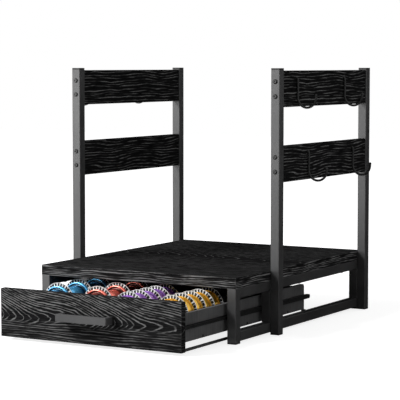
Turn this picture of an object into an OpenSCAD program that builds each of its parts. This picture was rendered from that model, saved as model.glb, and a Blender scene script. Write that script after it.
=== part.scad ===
// Coffee station: a low stand with a capsule drawer under its shelf
// and a mug rack bolted to each side. X runs across, Y runs front to back,
// Z is up and the feet stand on Z zero.

/* [Shelf] */
// Width of the shelf board and of the stand under it
shelf_w = 387; // [350:1:440]
// Depth of the shelf board
shelf_d = 492; // [460:2:540]
// Thickness of the shelf board
shelf_t = 18; // [15:1:25]
// Radius on the long edges of every board
edge_r = 0.8; // [0.4:0.1:1.5]

/* [Square tube] */
// Outer width of the square tube
tube_w = 16.5; // [14:0.5:20]
// Wall of the square tube
tube_wall = 1; // [0.8:0.1:2]
// Outer corner radius of the square tube
tube_r = 1.2; // [0.8:0.1:2.4]
// Height from the floor to the lower side rails
rail_lift = 4; // [3:0.5:8]
// Distance from the front of the stand to the mid posts
mid_post_y = 122; // [100:2:150]
// Height of the plastic cap under each leg
foot_h = 3; // [2:0.5:5]
// Depth that a plastic cap reaches into its tube
plug_l = 12; // [8:1:20]
// Clearance round a plastic plug in its tube
plug_gap = 0.1; // [0.05:0.05:0.3]

/* [Mug racks] */
// Height of the rack uprights
rack_h = 453; // [420:1:500]
// Height of the cap on top of each upright
top_cap_h = 3; // [2:0.5:5]
// Height of each rack slat
slat_h = 62; // [50:1:75]
// Thickness of each rack slat
slat_t = 12; // [10:1:13]
// Distance from an upright's top to the top of the upper slat
upper_slat_drop = 4; // [3:1:20]
// Distance from an upright's top to the top of the lower slat
lower_slat_drop = 131.5; // [110:0.5:160]
// Distance between the two bolts in a slat's end
slat_bolt_pitch = 25; // [20:1:36]
// Diameter of the hook wire
hook_d = 4; // [3:0.5:5]
// Height of a hook's root above the slat's lower edge
hook_root_z = 49; // [42:1:54]
// Width of a hook's bowl between the middles of its wire
hook_bowl_w = 34.5; // [24:0.5:40]

/* [Drawer] */
// Distance that the drawer stands open at rest
drawer_open = 145; // [80:1:160]
// Thickness of the drawer front
front_t = 13; // [10:1:18]
// Gap between the drawer front and each leg
front_side_gap = 2; // [1.5:0.5:5]
// Gap between the drawer front and the floor
front_foot_gap = 5.5; // [4:0.5:10]
// Gap between the drawer front and the shelf
front_top_gap = 5.5; // [3:0.5:10]
// Height from the floor to the drawer box
box_lift = 20; // [18:0.5:26]
// Height of the drawer sides
box_h = 46; // [40:1:56]
// Thickness of the boards of the drawer box
board_t = 6; // [5:0.5:8]
// Gap behind the closed drawer box
box_rear_gap = 31; // [20:1:60]
// Radius of the rear top corner of a drawer side
side_corner_r = 5; // [3:1:10]
// Height of the lane dividers
divider_h = 28; // [20:1:36]
// Thickness of the lane dividers
divider_t = 2; // [1.5:0.5:4]
// Height and width of the bars under the drawer box
underbar_w = 4; // [3:0.5:5]
// Distance that these bars stand out from the drawer sides
underbar_out = 3.5; // [0:0.5:5]
// Height from the floor to the bars under the drawer box
underbar_lift = 6; // [5:0.5:8]

/* [Slides] */
// Gap between a drawer side and its leg, which holds the slide
slide_gap = 7; // [7:0.5:12]
// Length of the fixed slide rail
rail_l = 295; // [260:1:340]
// Outer height of the fixed slide rail
rail_h = 7.5; // [7:0.5:12]
// Wall of the fixed slide rail
rail_wall = 1; // [0.8:0.1:1.2]
// Height of the slide above the underside of the drawer box
slide_z = 23.4; // [18:0.2:26]
// Thickness of the nylon pads in the rail
pad_t = 0.6; // [0.4:0.1:0.8]
// Running clearance on each side of a sliding piece
slide_play = 0.2; // [0.1:0.05:0.4]
// Length of the nylon pads and sliders
pad_l = 14; // [10:1:16]

/* [Handle] */
// Width of the handle
handle_w = 98; // [80:2:140]
// Height of the handle
handle_h = 12; // [10:1:16]
// Distance from the drawer front to the outside of the handle
handle_reach = 24; // [20:1:40]
// Thickness of the handle's strap
handle_t = 7; // [6:0.5:9]
// Length of the black spacers behind the handle
spacer_l = 5; // [3:0.5:8]
// Height of the handle's middle above the floor
handle_z = 49; // [40:1:56]

/* [Capsules] */
// Diameter of a capsule's rim
rim_d = 62; // [56:1:64]
// Diameter of a capsule's dome where it meets the rim
dome_d = 53; // [46:1:54]
// Height of a large dome
large_dome_h = 44; // [38:1:48]
// Height of a small dome
small_dome_h = 25; // [20:1:26]
// Thickness of the rim
rim_t = 1.2; // [0.8:0.1:2]
// Wall of the capsule's shell
shell_t = 0.6; // [0.5:0.1:1]
// Thickness of the foil lid
lid_t = 0.4; // [0.3:0.1:0.8]
// Distance from one large capsule to the next
large_pitch = 60; // [56:0.5:70]
// Distance from one small capsule to the next
small_pitch = 29; // [28:0.5:36]
// Room above the capsules, up to the shelf
headroom = 4; // [3:0.5:10]

/* [Hidden] */
$fn = 32;

// Overrun of a cutting shape
cut = 1;
// Radial clearance of a screw in its hole
screw_gap = 0.1;
// Inner corner radius of the square tube
tube_in_r = 0.3;

// Bolts in the ends of the slats
slat_bolt_d = 4;
slat_bolt_head_d = 8;
slat_bolt_head_h = 2.2;
slat_bolt_grip = 14;
// Bolts that join a rack to the stand
rack_bolt_d = 5;
rack_bolt_head_d = 9;
rack_bolt_head_h = 2.4;
rack_bolt_low_z = 28;
rack_bolt_drop = 14;
nut_d = 7;
nut_l = 9;
nut_flange_d = 9.5;
// Screws up through the rails into the shelf
shelf_screw_d = 4;
shelf_screw_head_d = 8;
shelf_screw_head_h = 2.2;
shelf_screw_bite = 12;
shelf_screw_shares = [0.12, 0.5, 0.86];
cross_screw_share = 0.55;
// Hooks along a slat, as shares of its length
upper_hook_shares = [0.148, 0.711];
lower_hook_shares = [0.278, 0.821];
hook_bend_r = 3.5;
hook_drop = 1.5;
hook_tip_l = 3.5;
hook_tip_d = 5;
hook_root_l = 8;
// Brackets that carry the slide rails behind the front legs
bracket_t = 1.5;
bracket_l = 14;
bracket_h = 16;
bracket_w = 12;
rail_front_gap = 1.5;
rail_screw_d = 3;
rail_screw_head_h = 0.8;
rail_screw_l = 5;
// Handle details
handle_r = 1;
handle_screw_d = 4;
handle_screw_head_d = 8;
handle_screw_head_h = 2.2;
handle_screw_bite = 9;
// Screws through the inner front into the drawer front
front_screw_d = 3.5;
front_screw_head_d = 7;
front_screw_head_h = 1.8;
front_screw_bite = 8;
front_screw_end_share = 0.8;
front_screw_inset = 12.7;
// Flush screws of the drawer box
box_screw_d = 2.5;
box_screw_head_d = 5;
box_screw_head_h = 1.2;
box_screw_l = 20;
box_screw_shares = [0.26, 0.74];
floor_screw_shares = [0.15, 0.5, 0.85];
// Drive sockets in screw heads
socket_share = 0.42;
socket_depth_share = 0.6;
socket_sides = 6;
// Capsules in each lane, counted from the drawer front
lane_count = 4;
large_count = 3;
small_count = 5;
blue_lead = 77;
red_lead = 73;
purple_lead = 39;
yellow_lead = 39;
capsule_gap = 0.2;
rim_bead_d = 1.8;
// Dome outline: shares of its radius and of its height, from rim to crown
dome_shares = [[1, 0], [0.975, 0.3], [0.92, 0.52], [0.8, 0.72], [0.62, 0.87], [0.36, 0.965], [0, 1]];

// Heights of the stand
shelf_z = box_lift + board_t + capsule_gap + rim_d + headroom;
upper_rail_z = shelf_z - tube_w;
lower_rail_top = rail_lift + tube_w;
// Widths of the stand and the drawer
half_w = shelf_w / 2;
leg_in = half_w - tube_w;
side_out = leg_in - slide_gap;
side_in = side_out - board_t;
front_half_w = leg_in - front_side_gap;
lane_w = (2 * side_in - (lane_count - 1) * divider_t) / lane_count;
lane_pitch = lane_w + divider_t;
// Depths, measured from the front of the stand
box_l = shelf_d - tube_w - box_rear_gap - front_t;
rear_y = shelf_d - tube_w;
slat_y = mid_post_y + tube_w;
slat_l = rear_y - slat_y;
rail_y = front_t + rail_front_gap;
pad_y = mid_post_y;
// The whole part, drawer open, is centred on the origin
front_y = (drawer_open + handle_reach - shelf_d) / 2;
drawer_y = front_y - drawer_open;
box_y = drawer_y + front_t;
box_back_y = box_y + box_l;
inside_y = box_y + board_t;
// Heights of the drawer
front_top = shelf_z - front_top_gap;
floor_top = box_lift + board_t;
box_top = box_lift + box_h;
slide_mid_z = box_lift + slide_z;
// Slide section
rail_in_h = rail_h - 2 * rail_wall;
rail_web_x = leg_in - rail_wall;
runner_h = rail_in_h - 2 * pad_t - 2 * slide_play;
slider_h = rail_in_h - 2 * slide_play;
rail_screw_head_d = rail_in_h - 2 * slide_play;
plate_t = rail_wall - slide_play;
runner_t = slide_gap - rail_wall - rail_screw_head_h - 3 * slide_play;
flange_x = side_out + rail_wall;
// Racks
upright_x = half_w;
slat_x = upright_x + (tube_w - slat_t) / 2;
slat_out = slat_x + slat_t;
upper_slat_z = rack_h - upper_slat_drop - slat_h;
lower_slat_z = rack_h - lower_slat_drop - slat_h;
rack_bolt_zs = [rack_bolt_low_z, upper_rail_z - rack_bolt_drop];

// Draws a right-hand piece as it is, or mirrored to the left
module hand(side) mirror([side < 0 ? 1 : 0, 0, 0]) children();

// A rectangle with true round corners, from the origin
module round_rect(w, h, r) {
  translate([r, 0]) square([w - 2 * r, h]);
  translate([0, r]) square([w, h - 2 * r]);
  for (x = [r, w - r], y = [r, h - r]) translate([x, y]) circle(r);
}

// A board whose edges along Y are rounded, from the origin
module board_y(w, l, h) translate([0, l, 0]) rotate([90, 0, 0]) linear_extrude(l) round_rect(w, h, edge_r);

// A board whose edges along X are rounded, from the origin
module board_x(l, d, h) rotate([90, 0, 90]) linear_extrude(l) round_rect(d, h, edge_r);

module tube_section() {
  inner = tube_w - 2 * tube_wall;
  difference() {
    round_rect(tube_w, tube_w, tube_r);
    translate([tube_wall, tube_wall]) round_rect(inner, inner, tube_in_r);
  }
}

module tube_z(l) linear_extrude(l) tube_section();
module tube_y(l) translate([0, l, 0]) rotate([90, 0, 0]) linear_extrude(l) tube_section();
module tube_x(l) rotate([90, 0, 90]) linear_extrude(l) tube_section();

// A plastic cap with its plug, standing on its flange
module tube_cap(flange_h) {
  plug_w = tube_w - 2 * tube_wall - 2 * plug_gap;
  linear_extrude(flange_h) round_rect(tube_w, tube_w, tube_r);
  translate([tube_wall + plug_gap, tube_wall + plug_gap, flange_h])
    linear_extrude(plug_l) round_rect(plug_w, plug_w, tube_in_r);
}

// A button-head screw: its head stands on +Z and its shank runs down
module screw(d, l, head_d, head_h) {
  socket_d = head_d * socket_share;
  socket_l = head_h * socket_depth_share;
  crown_share = 0.62;
  lip_share = 0.4;
  difference() {
    rotate_extrude() polygon([[0, 0], [head_d / 2, 0], [head_d / 2, head_h * lip_share],
      [head_d / 2 * crown_share, head_h], [0, head_h]]);
    translate([0, 0, head_h - socket_l]) cylinder(d = socket_d, h = socket_l + cut, $fn = socket_sides);
  }
  translate([0, 0, -l]) cylinder(d = d, h = l);
}

// The hole that a screw's shank runs in, from its head down
module screw_hole(d, l) translate([0, 0, -l]) cylinder(d = d + 2 * screw_gap, h = l + cut);

// Places of the screws that hold the shelf: [x, y]
rail_mid_x = half_w - tube_w / 2;
shelf_screw_places = [
  for (side = [-1, 1], share = shelf_screw_shares) [side * rail_mid_x, share * shelf_d],
  for (side = [-1, 1]) [side * leg_in * cross_screw_share, rear_y + tube_w / 2]
];

module at_shelf_screws() {
  for (p = shelf_screw_places) translate([p[0], front_y + p[1], upper_rail_z]) rotate([180, 0, 0]) children();
}

// Places along Z of a slat's two bolts
function slat_bolt_zs(slat_z) = [for (s = [-1, 1]) slat_z + slat_h / 2 + s * slat_bolt_pitch / 2];

// Bolts of one slat, heads outward at both ends
module at_slat_bolts(slat_z) {
  mid_x = upright_x + tube_w / 2;
  for (z = slat_bolt_zs(slat_z)) {
    translate([mid_x, front_y + mid_post_y, z]) rotate([90, 0, 0]) children();
    translate([mid_x, front_y + shelf_d, z]) rotate([-90, 0, 0]) children();
  }
}

// Bolts of one rack, from inside the stand outward
module at_rack_bolts() {
  for (y = [mid_post_y, rear_y], z = rack_bolt_zs)
    translate([leg_in, front_y + y + tube_w / 2, z]) rotate([0, -90, 0]) children();
}

module rack_bolt_holes() {
  hand(-1) at_rack_bolts() screw_hole(rack_bolt_d, 2 * tube_w - tube_wall - cut);
  at_rack_bolts() screw_hole(rack_bolt_d, 2 * tube_w - tube_wall - cut);
}

module shelf_board() color([0.16, 0.16, 0.17]) difference() {
  translate([-half_w, front_y, shelf_z]) board_y(shelf_w, shelf_d, shelf_t);
  at_shelf_screws() screw_hole(shelf_screw_d, tube_w + shelf_screw_bite);
}

module front_leg(side) color([0.3, 0.3, 0.31]) hand(side) difference() {
  translate([leg_in, front_y, foot_h]) tube_z(shelf_z - foot_h);
  bracket_screw_holes();
}

module rear_leg(side) color([0.3, 0.3, 0.31]) difference() {
  hand(side) translate([leg_in, front_y + rear_y, foot_h]) tube_z(shelf_z - foot_h);
  rack_bolt_holes();
}

module mid_post(side) color([0.3, 0.3, 0.31]) difference() {
  hand(side) translate([leg_in, front_y + mid_post_y, lower_rail_top]) tube_z(upper_rail_z - lower_rail_top);
  rack_bolt_holes();
  rail_screw_holes();
}

module upper_rail(side) color([0.25, 0.25, 0.26]) difference() {
  hand(side) translate([leg_in, front_y + tube_w, upper_rail_z]) tube_y(rear_y - tube_w);
  at_shelf_screws() screw_hole(shelf_screw_d, tube_w + shelf_screw_bite);
}

module lower_rail(side) color([0.25, 0.25, 0.26])
  hand(side) translate([leg_in, front_y + tube_w, rail_lift]) tube_y(rear_y - tube_w);

module rear_cross_rail() color([0.25, 0.25, 0.26]) difference() {
  translate([-leg_in, front_y + rear_y, upper_rail_z]) tube_x(2 * leg_in);
  at_shelf_screws() screw_hole(shelf_screw_d, tube_w + shelf_screw_bite);
}

module leg_feet() color([0.1, 0.1, 0.1])
  for (side = [-1, 1], y = [0, rear_y]) hand(side) translate([leg_in, front_y + y, 0]) tube_cap(foot_h);

module shelf_screws() color([0.5, 0.5, 0.52])
  at_shelf_screws()
    screw(shelf_screw_d, tube_w + shelf_screw_bite - cut, shelf_screw_head_d, shelf_screw_head_h);

// One rack upright at depth y, drilled for the slat bolts and the rack bolts
module upright(side, y) color([0.42, 0.42, 0.43]) difference() {
  hand(side) translate([upright_x, front_y + y, foot_h]) tube_z(rack_h - foot_h - top_cap_h);
  hand(side) for (z = [upper_slat_z, lower_slat_z])
    at_slat_bolts(z) screw_hole(slat_bolt_d, tube_w + cut);
  hand(side) at_rack_bolts() translate([0, 0, -tube_w - tube_wall - cut])
    cylinder(d = nut_d + 2 * screw_gap, h = tube_wall + cut + cut);
}

module upright_feet() color([0.1, 0.1, 0.1])
  for (side = [-1, 1], y = [mid_post_y, rear_y])
    hand(side) translate([upright_x, front_y + y, 0]) tube_cap(foot_h);

module upright_top_caps() color([0.1, 0.1, 0.1])
  for (side = [-1, 1], y = [mid_post_y, rear_y])
    hand(side) translate([upright_x, front_y + y + tube_w, rack_h]) rotate([180, 0, 0]) tube_cap(top_cap_h);

// One rack slat between the two uprights of a side
module slat(side, z) color([0.16, 0.16, 0.17]) hand(side) difference() {
  translate([slat_x, front_y + slat_y, z]) board_y(slat_t, slat_l, slat_h);
  at_slat_bolts(z) screw_hole(slat_bolt_d, tube_w + slat_bolt_grip + cut);
  at_hooks() translate([-hook_root_l - cut, 0, 0]) rotate([0, 90, 0])
    cylinder(d = hook_d + 2 * screw_gap, h = hook_root_l + cut + cut);
}

module slat_bolts() color([0.14, 0.14, 0.15])
  for (side = [-1, 1], z = [upper_slat_z, lower_slat_z]) hand(side) at_slat_bolts(z)
    screw(slat_bolt_d, tube_w + slat_bolt_grip, slat_bolt_head_d, slat_bolt_head_h);

module rack_bolts() color([0.14, 0.14, 0.15])
  for (side = [-1, 1]) hand(side) at_rack_bolts()
    screw(rack_bolt_d, tube_w + nut_l, rack_bolt_head_d, rack_bolt_head_h);

// Threaded inserts in the inner walls of the uprights, open towards the stand
module rack_rivet_nuts() color([0.6, 0.6, 0.58])
  for (side = [-1, 1]) hand(side) at_rack_bolts() translate([0, 0, -tube_w - nut_l]) difference() {
    union() {
      cylinder(d = nut_d, h = nut_l);
      cylinder(d = nut_flange_d, h = nut_l - tube_wall - plug_gap);
    }
    translate([0, 0, -cut]) cylinder(d = rack_bolt_d + 2 * screw_gap, h = nut_l + cut + cut);
  }

// Roots of the hooks of one rack, on the slats' outer faces
module at_hooks() {
  for (share = upper_hook_shares)
    translate([slat_out, front_y + slat_y + share * slat_l, upper_slat_z + hook_root_z]) children();
  for (share = lower_hook_shares)
    translate([slat_out, front_y + slat_y + share * slat_l, lower_slat_z + hook_root_z]) children();
}

// A wire hook in the XZ plane: root, bend down, shank along the slat, round bowl and upright tip
module mug_hook() {
  bowl_r = hook_bowl_w / 2;
  shank_l = hook_root_z - hook_bend_r - bowl_r + hook_drop;
  translate([-hook_root_l, 0, 0]) rotate([0, 90, 0]) cylinder(d = hook_d, h = hook_root_l);
  translate([0, 0, -hook_bend_r]) rotate([90, 0, 0]) rotate_extrude(angle = 90)
    translate([hook_bend_r, 0]) circle(d = hook_d);
  translate([hook_bend_r, 0, -hook_bend_r - shank_l]) {
    cylinder(d = hook_d, h = shank_l);
    translate([bowl_r, 0, 0]) rotate([90, 180, 0]) rotate_extrude(angle = 180)
      translate([bowl_r, 0]) circle(d = hook_d);
    translate([hook_bowl_w, 0, 0]) {
      cylinder(d = hook_d, h = hook_tip_l);
      translate([0, 0, hook_tip_l]) sphere(d = hook_tip_d);
    }
  }
}

module mug_hooks(side) color([0.12, 0.12, 0.12]) hand(side) at_hooks() mug_hook();

// Fixed rail of one slide: a C section, open towards the drawer, with a round rear end
module slide_rail(side) color([0.08, 0.08, 0.08]) difference() {
  hand(side) {
    translate([rail_web_x, front_y + rail_y, slide_mid_z - rail_h / 2])
      cube([rail_wall, rail_l - rail_h / 2, rail_h]);
    translate([rail_web_x, front_y + rail_y + rail_l - rail_h / 2, slide_mid_z])
      rotate([0, 90, 0]) cylinder(d = rail_h, h = rail_wall);
    for (z = [slide_mid_z - rail_h / 2, slide_mid_z + rail_h / 2 - rail_wall])
      translate([flange_x, front_y + rail_y, z])
        cube([rail_web_x - flange_x, rail_l - rail_h / 2, rail_wall]);
  }
  rail_screw_holes();
}

// Screws of one slide rail, from inside the rail outward
module at_rail_screws() {
  for (y = [tube_w + bracket_l / 2 + bracket_t / 2, mid_post_y + tube_w / 2])
    translate([rail_web_x, front_y + y, slide_mid_z]) rotate([0, -90, 0]) children();
}

module rail_screw_holes() {
  for (side = [-1, 1]) hand(side) at_rail_screws() screw_hole(rail_screw_d, rail_screw_l + cut);
}

// Angle brackets from the rear faces of the front legs to the slide rails
module rail_brackets() color([0.1, 0.1, 0.1]) difference() {
  for (side = [-1, 1]) hand(side)
    translate([leg_in, front_y + tube_w, slide_mid_z - bracket_h / 2]) {
      cube([bracket_w, bracket_t, bracket_h]);
      cube([bracket_t, bracket_l, bracket_h]);
    }
  rail_screw_holes();
  for (side = [-1, 1]) hand(side) bracket_screw_holes();
}

// Screws through a bracket into the rear face of its leg
module at_bracket_screws() {
  for (s = [-1, 1])
    translate([leg_in + bracket_t + (bracket_w - bracket_t) / 2, front_y + tube_w + bracket_t,
      slide_mid_z + s * bracket_h / 4]) rotate([-90, 0, 0]) children();
}

module bracket_screw_holes() at_bracket_screws() screw_hole(rail_screw_d, rail_screw_l + cut);

module rail_screws() color([0.55, 0.55, 0.57])
  for (side = [-1, 1]) hand(side) {
    at_rail_screws() screw(rail_screw_d, rail_screw_l, rail_screw_head_d, rail_screw_head_h);
    at_bracket_screws() screw(rail_screw_d, rail_screw_l, rail_screw_head_d, rail_screw_head_h);
  }

// Nylon pads in the rail, which guide the runner and stop its slider
module rail_pads() color([0.85, 0.85, 0.82]) {
  pad_w = rail_web_x - flange_x - rail_screw_head_h;
  low_z = slide_mid_z - rail_in_h / 2;
  high_z = slide_mid_z + rail_in_h / 2 - pad_t;
  for (side = [-1, 1], y = [rail_y, pad_y], z = [low_z, high_z])
    hand(side) translate([flange_x, front_y + y, z]) cube([pad_w, pad_l, pad_t]);
}

// Runner on a drawer side: a thin plate with the tongue that slides in the fixed rail
module slide_runner(side) color([0.09, 0.09, 0.09]) hand(side) {
  runner_l = box_l - pad_l;
  translate([side_out, box_y, slide_mid_z - rail_h / 2]) cube([plate_t, runner_l, rail_h]);
  translate([side_out, box_y, slide_mid_z - runner_h / 2]) cube([runner_t, runner_l, runner_h]);
}

// Nylon sliders at the rear ends of the runners
module runner_sliders() color([0.85, 0.85, 0.82])
  for (side = [-1, 1]) hand(side)
    translate([side_out, box_back_y - pad_l, slide_mid_z - slider_h / 2])
      cube([runner_t, pad_l, slider_h]);

module drawer_front() color([0.16, 0.16, 0.17]) difference() {
  translate([-front_half_w, drawer_y, front_foot_gap])
    board_x(2 * front_half_w, front_t, front_top - front_foot_gap);
  at_handle_screws() screw_hole(handle_screw_d, board_t + front_t + cut);
  at_front_screws() screw_hole(front_screw_d, board_t + front_screw_bite);
}

module drawer_inner_front() color([0.2, 0.2, 0.21]) difference() {
  translate([-side_in, box_y, floor_top]) cube([2 * side_in, board_t, box_top - floor_top]);
  at_handle_screws() screw_hole(handle_screw_d, board_t + front_t + cut);
  at_front_screws() screw_hole(front_screw_d, board_t + front_screw_bite);
  box_screw_holes();
}

// One drawer side, with its rear top corner rounded
module drawer_side(side) color([0.2, 0.2, 0.21]) difference() {
  hand(side) translate([side_in, box_y, box_lift]) rotate([90, 0, 90]) linear_extrude(board_t) {
    square([box_l, box_h - side_corner_r]);
    square([box_l - side_corner_r, box_h]);
    translate([box_l - side_corner_r, box_h - side_corner_r]) circle(side_corner_r);
  }
  box_screw_holes();
}

module drawer_back() color([0.2, 0.2, 0.21]) difference() {
  translate([-side_in, box_back_y - board_t, floor_top])
    cube([2 * side_in, board_t, box_top - floor_top - side_corner_r]);
  box_screw_holes();
}

module drawer_floor() color([0.13, 0.13, 0.14]) difference() {
  translate([-side_in, box_y, box_lift]) cube([2 * side_in, box_l, board_t]);
  box_screw_holes();
}

module lane_dividers() color([0.12, 0.12, 0.13])
  for (i = [1 : lane_count - 1])
    translate([-side_in + i * lane_pitch - divider_t, inside_y, floor_top])
      cube([divider_t, box_l - 2 * board_t, divider_h]);

// Bar beside one drawer side, turned up under the box at its rear end
module underbar(side) color([0.06, 0.06, 0.06]) hand(side) {
  translate([side_out + underbar_out - underbar_w, box_y, underbar_lift])
    cube([underbar_w, box_l, underbar_w]);
  translate([side_out - underbar_w, box_back_y - underbar_w, underbar_lift])
    cube([underbar_w + underbar_out, underbar_w, box_lift - underbar_lift]);
}

// The handle: a flat strap bent to a U, with round outer corners
module handle_pull() color([0.38, 0.38, 0.39]) difference() {
  leg_l = handle_reach - spacer_l;
  translate([-handle_w / 2, drawer_y - handle_reach, handle_z - handle_h / 2]) linear_extrude(handle_h)
    difference() {
      union() {
        round_rect(handle_w, leg_l, handle_r);
        translate([0, leg_l / 2]) square([handle_w, leg_l / 2]);
      }
      translate([handle_t, handle_t]) square([handle_w - 2 * handle_t, leg_l]);
    }
  at_handle_screws() screw_hole(handle_screw_d, board_t + front_t + spacer_l + handle_screw_bite + cut);
}

module handle_spacers() color([0.04, 0.04, 0.04]) difference() {
  for (side = [-1, 1]) hand(side)
    translate([handle_w / 2 - handle_t, drawer_y - spacer_l, handle_z - handle_h / 2])
      cube([handle_t, spacer_l, handle_h]);
  at_handle_screws() screw_hole(handle_screw_d, board_t + front_t + spacer_l + cut);
}

module at_handle_screws() {
  for (side = [-1, 1]) translate([side * (handle_w - handle_t) / 2, inside_y, handle_z])
    rotate([-90, 0, 0]) children();
}

module handle_screws() color([0.5, 0.5, 0.52]) {
  shank_l = board_t + front_t + spacer_l + handle_screw_bite;
  at_handle_screws() screw(handle_screw_d, shank_l, handle_screw_head_d, handle_screw_head_h);
}

// Two front screws near the sides, and two just inward of the handle's screws
module at_front_screws() {
  inner_x = (handle_w - handle_t) / 2 - front_screw_inset;
  for (side = [-1, 1], x = [inner_x, side_in * front_screw_end_share])
    translate([side * x, inside_y, floor_top + (box_top - floor_top) / 2])
      rotate([-90, 0, 0]) children();
}

module front_screws() color([0.5, 0.5, 0.52]) at_front_screws()
  screw(front_screw_d, board_t + front_screw_bite - cut, front_screw_head_d, front_screw_head_h);

// Flush screws of the box: through the sides into the back, inner front and floor
module at_box_screws() {
  wall_h = box_top - floor_top - side_corner_r;
  for (side = [-1, 1]) hand(side) {
    for (y = [box_y + board_t / 2, box_back_y - board_t / 2], share = box_screw_shares)
      translate([side_out, y, floor_top + share * wall_h]) rotate([0, 90, 0]) children();
    for (share = floor_screw_shares)
      translate([side_out, box_y + share * box_l, box_lift + board_t / 2]) rotate([0, 90, 0]) children();
  }
}

module box_screw_holes() {
  at_box_screws() {
    screw_hole(box_screw_d, box_screw_l + cut);
    translate([0, 0, -box_screw_head_h])
      cylinder(d = box_screw_head_d + 2 * screw_gap, h = box_screw_head_h + cut);
  }
}

module box_screws() color([0.12, 0.12, 0.12]) at_box_screws() {
  translate([0, 0, -box_screw_l]) cylinder(d = box_screw_d, h = box_screw_l - box_screw_head_h);
  translate([0, 0, -box_screw_head_h]) cylinder(d = box_screw_head_d, h = box_screw_head_h);
}

// Outline of a dome's shell at a given inset
function dome_points(dome_h, inset) =
  [for (p = dome_shares) [p[0] * (dome_d / 2 - inset), p[1] * (dome_h - inset)]];

// One capsule body with its axis on Z: a thin domed shell on a beaded rim
module capsule(dome_h) {
  rotate_extrude($fn = 48) {
    difference() {
      polygon(concat([[0, 0]], dome_points(dome_h, 0)));
      translate([0, -cut]) polygon(concat([[0, 0]], dome_points(dome_h + cut, shell_t)));
      translate([0, -cut]) square([dome_d / 2 - shell_t, cut]);
    }
    translate([dome_d / 2 - shell_t, -rim_t]) square([(rim_d - dome_d - rim_bead_d) / 2 + shell_t, rim_t]);
    translate([(rim_d - rim_bead_d) / 2, -rim_t / 2]) circle(d = rim_bead_d, $fn = 16);
  }
}

// Places of the capsules of one lane, standing on edge with domes to the front
module at_capsules(lane, lead, pitch, count) {
  x = (lane - (lane_count + 1) / 2) * lane_pitch;
  z = floor_top + capsule_gap + rim_d / 2;
  for (i = [0 : count - 1]) translate([x, inside_y + lead + i * pitch, z]) rotate([90, 0, 0]) children();
}

// Foil lid behind a capsule's rim
module lid() translate([0, 0, -rim_t - lid_t]) cylinder(d = rim_d - 2 * rim_bead_d, h = lid_t, $fn = 48);

module capsules_blue() color([0.12, 0.5, 0.75]) at_capsules(1, blue_lead, large_pitch, large_count)
  capsule(large_dome_h);
module capsules_red() color([0.75, 0.25, 0.22]) at_capsules(2, red_lead, large_pitch, large_count)
  capsule(large_dome_h);
module capsules_purple() color([0.45, 0.25, 0.62]) at_capsules(3, purple_lead, small_pitch, small_count)
  capsule(small_dome_h);
module capsules_yellow() color([0.9, 0.62, 0.12]) at_capsules(4, yellow_lead, small_pitch, small_count)
  capsule(small_dome_h);

module lids_blue() color([0.8, 0.8, 0.8]) at_capsules(1, blue_lead, large_pitch, large_count) lid();
module lids_red() color([0.8, 0.8, 0.8]) at_capsules(2, red_lead, large_pitch, large_count) lid();
module lids_purple() color([0.8, 0.8, 0.8]) at_capsules(3, purple_lead, small_pitch, small_count) lid();
module lids_yellow() color([0.8, 0.8, 0.8]) at_capsules(4, yellow_lead, small_pitch, small_count) lid();

shelf_board();
front_leg(-1);  // front_leg_left
front_leg(1);  // front_leg_right
rear_leg(-1);  // rear_leg_left
rear_leg(1);  // rear_leg_right
mid_post(-1);  // mid_post_left
mid_post(1);  // mid_post_right
upper_rail(-1);  // upper_rail_left
upper_rail(1);  // upper_rail_right
lower_rail(-1);  // lower_rail_left
lower_rail(1);  // lower_rail_right
rear_cross_rail();
leg_feet();
shelf_screws();
upright(-1, mid_post_y);  // front_upright_left
upright(1, mid_post_y);  // front_upright_right
upright(-1, rear_y);  // rear_upright_left
upright(1, rear_y);  // rear_upright_right
upright_feet();
upright_top_caps();
slat(-1, upper_slat_z);  // upper_slat_left
slat(1, upper_slat_z);  // upper_slat_right
slat(-1, lower_slat_z);  // lower_slat_left
slat(1, lower_slat_z);  // lower_slat_right
slat_bolts();
rack_bolts();
rack_rivet_nuts();
mug_hooks(-1);  // mug_hooks_left
mug_hooks(1);  // mug_hooks_right
slide_rail(-1);  // slide_rail_left
slide_rail(1);  // slide_rail_right
rail_brackets();
rail_screws();
rail_pads();
drawer_front();
drawer_inner_front();
drawer_side(-1);  // drawer_side_left
drawer_side(1);  // drawer_side_right
drawer_back();
drawer_floor();
lane_dividers();
slide_runner(-1);  // slide_runner_left
slide_runner(1);  // slide_runner_right
runner_sliders();
underbar(-1);  // underbar_left
underbar(1);  // underbar_right
handle_pull();
handle_spacers();
handle_screws();
front_screws();
box_screws();
capsules_blue();
capsules_red();
capsules_purple();
capsules_yellow();
lids_blue();
lids_red();
lids_purple();
lids_yellow();
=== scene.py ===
import math

import bmesh
import bpy
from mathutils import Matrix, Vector


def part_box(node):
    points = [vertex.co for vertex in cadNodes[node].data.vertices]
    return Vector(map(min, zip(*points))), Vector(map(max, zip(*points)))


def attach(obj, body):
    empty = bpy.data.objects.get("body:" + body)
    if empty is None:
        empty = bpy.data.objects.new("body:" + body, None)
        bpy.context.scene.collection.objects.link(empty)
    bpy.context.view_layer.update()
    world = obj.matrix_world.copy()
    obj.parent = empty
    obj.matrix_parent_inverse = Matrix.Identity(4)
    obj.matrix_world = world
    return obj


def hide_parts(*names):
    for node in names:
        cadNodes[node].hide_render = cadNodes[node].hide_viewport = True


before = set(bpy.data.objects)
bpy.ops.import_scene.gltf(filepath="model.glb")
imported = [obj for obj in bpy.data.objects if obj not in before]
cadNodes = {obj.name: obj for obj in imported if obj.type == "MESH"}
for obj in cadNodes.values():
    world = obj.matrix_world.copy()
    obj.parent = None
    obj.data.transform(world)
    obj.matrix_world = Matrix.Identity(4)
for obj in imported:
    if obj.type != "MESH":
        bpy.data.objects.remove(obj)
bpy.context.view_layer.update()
scene = bpy.context.scene
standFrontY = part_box("front_leg_right")[0].y  # front face of the front legs
print("frame loaded:", len(cadNodes), "nodes")


# Camera

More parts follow.
